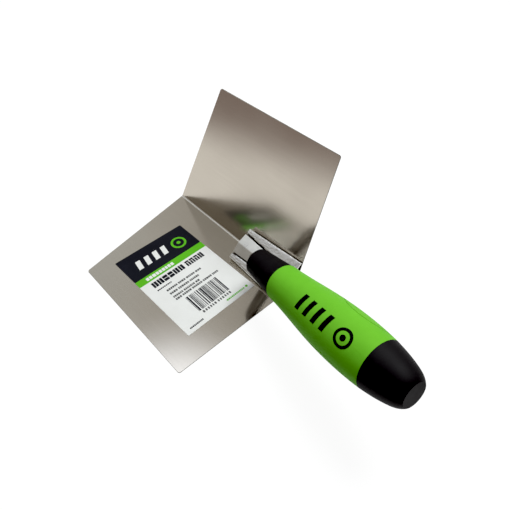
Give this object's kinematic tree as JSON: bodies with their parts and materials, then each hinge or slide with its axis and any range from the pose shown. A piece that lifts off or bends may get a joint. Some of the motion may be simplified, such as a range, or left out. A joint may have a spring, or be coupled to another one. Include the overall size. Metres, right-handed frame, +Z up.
{
  "type": "inside corner trowel",
  "caption": "Inside corner trowel: V-folded flexible steel blade with a pitched soft-grip handle on a welded saddle.",
  "frame": {"origin": "near the middle of the lower wing's flat outer face, on which the tool lies", "axes": "+X along the fold towards the nose, away from the handle; +Z up, square to the lower wing; +Y from the fold towards the lower wing's outer edge"},
  "size_m": [0.2404, 0.1278, 0.1],
  "materials": {
    "blade_steel": "satin, finely polished stainless sheet",
    "saddle_steel": "pressed steel, rough lips",
    "plate_steel": "satin",
    "shank_steel": "dark oiled steel",
    "black_rubber": "satin",
    "core_plastic": "moulded",
    "green_grip": "satin soft grip",
    "hardware_steel": "zinc plate",
    "label_paper": "coated paper"
  },
  "bodies": {
    "frame": {"blade_web": "blade_steel", "saddle_channel": "saddle_steel", "mount_plate": "plate_steel", "shank": "shank_steel", "collar": "black_rubber", "handle_core": "core_plastic", "grip_sleeve": "green_grip", "butt_cap": "black_rubber", "tang_washer": "hardware_steel", "tang_nut": "hardware_steel"},
    "lower_wing": {"wing_lower": "blade_steel", "label_sticker": "label_paper"},
    "upper_wing": {"wing_upper": "blade_steel"}
  },
  "joints": [
    {"name": "lower_wing_flex", "type": "hinge", "parent": "frame", "child": "lower_wing", "pos_m": [0, -0.0385, 0.0006], "axis": [1, 0, 0], "range_deg": [0, 7], "stiffness_Nm_per_rad": 13},
    {"name": "upper_wing_flex", "type": "hinge", "parent": "frame", "child": "upper_wing", "pos_m": [0, -0.0621, 0.01904], "axis": [-1, 0, 0], "range_deg": [0, 7], "stiffness_Nm_per_rad": 13}
  ]
}
